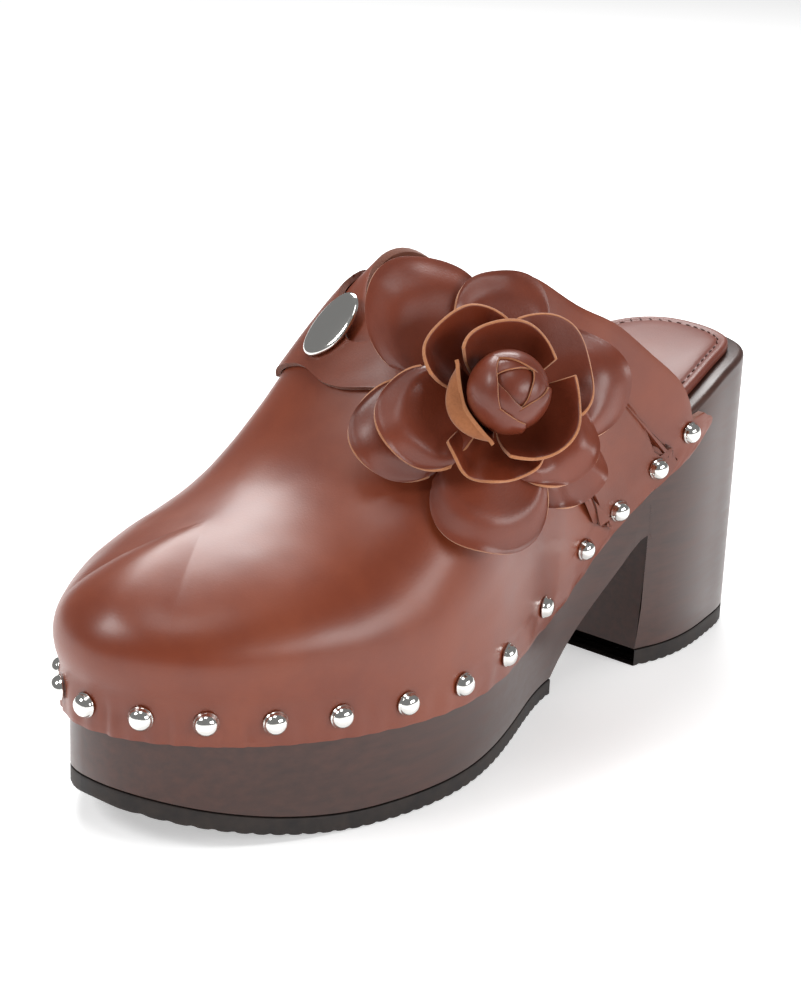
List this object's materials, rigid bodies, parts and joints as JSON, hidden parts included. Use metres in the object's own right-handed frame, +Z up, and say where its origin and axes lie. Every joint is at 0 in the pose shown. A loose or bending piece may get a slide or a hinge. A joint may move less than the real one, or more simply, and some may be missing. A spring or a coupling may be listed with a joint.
{
  "type": "platform clog",
  "caption": "Heeled platform clog, left shoe: wooden sole with rubber treads, closed-toe leather upper nailed to the sole with domed studs, instep band and large leather flower, open back.",
  "frame": {"origin": "on the floor under the middle of the heel, at the centre of the heel tread", "axes": "+Z up, toe to -Y, the outer (lateral) side to +X"},
  "size_m": [0.1148, 0.2598, 0.14],
  "materials": {
    "wood": "dark stained and oiled wood, satin",
    "rubber": "matte black-brown rubber with fine cross ribs",
    "leather": "tan-brown waxed leather, soft gloss",
    "band_leather": "tan-brown leather, slightly creased",
    "insole_leather": "smooth padded leather with a stitched edge",
    "flower_leather": "tan-brown leather petals with pale cut edges",
    "metal": "polished silver-coloured metal"
  },
  "bodies": {
    "root": {"flower_bud": "flower_leather", "forefoot_tread": "rubber", "heel_tread": "rubber", "insole": "insole_leather", "instep_band": "band_leather", "petal_inner_1": "flower_leather", "petal_inner_2": "flower_leather", "petal_inner_3": "flower_leather", "petal_middle_1": "flower_leather", "petal_middle_2": "flower_leather", "petal_middle_3": "flower_leather", "petal_middle_4": "flower_leather", "petal_middle_5": "flower_leather", "petal_outer_1": "flower_leather", "petal_outer_2": "flower_leather", "petal_outer_3": "flower_leather", "petal_outer_4": "flower_leather", "petal_outer_5": "flower_leather", "petal_outer_6": "flower_leather", "plaque": "metal", "stud_lateral_01": "metal", "stud_lateral_02": "metal", "stud_lateral_03": "metal", "stud_lateral_04": "metal", "stud_lateral_05": "metal", "stud_lateral_06": "metal", "stud_lateral_07": "metal", "stud_lateral_08": "metal", "stud_lateral_09": "metal", "stud_lateral_10": "metal", "stud_lateral_11": "metal", "stud_lateral_12": "metal", "stud_medial_01": "metal", "stud_medial_02": "metal", "stud_medial_03": "metal", "stud_medial_04": "metal", "stud_medial_05": "metal", "stud_medial_06": "metal", "stud_medial_07": "metal", "stud_medial_08": "metal", "stud_medial_09": "metal", "stud_medial_10": "metal", "stud_medial_11": "metal", "stud_medial_12": "metal", "stud_medial_13": "metal", "stud_toe": "metal", "upper": "leather", "wood_sole": "wood"}
  },
  "joints": []
}
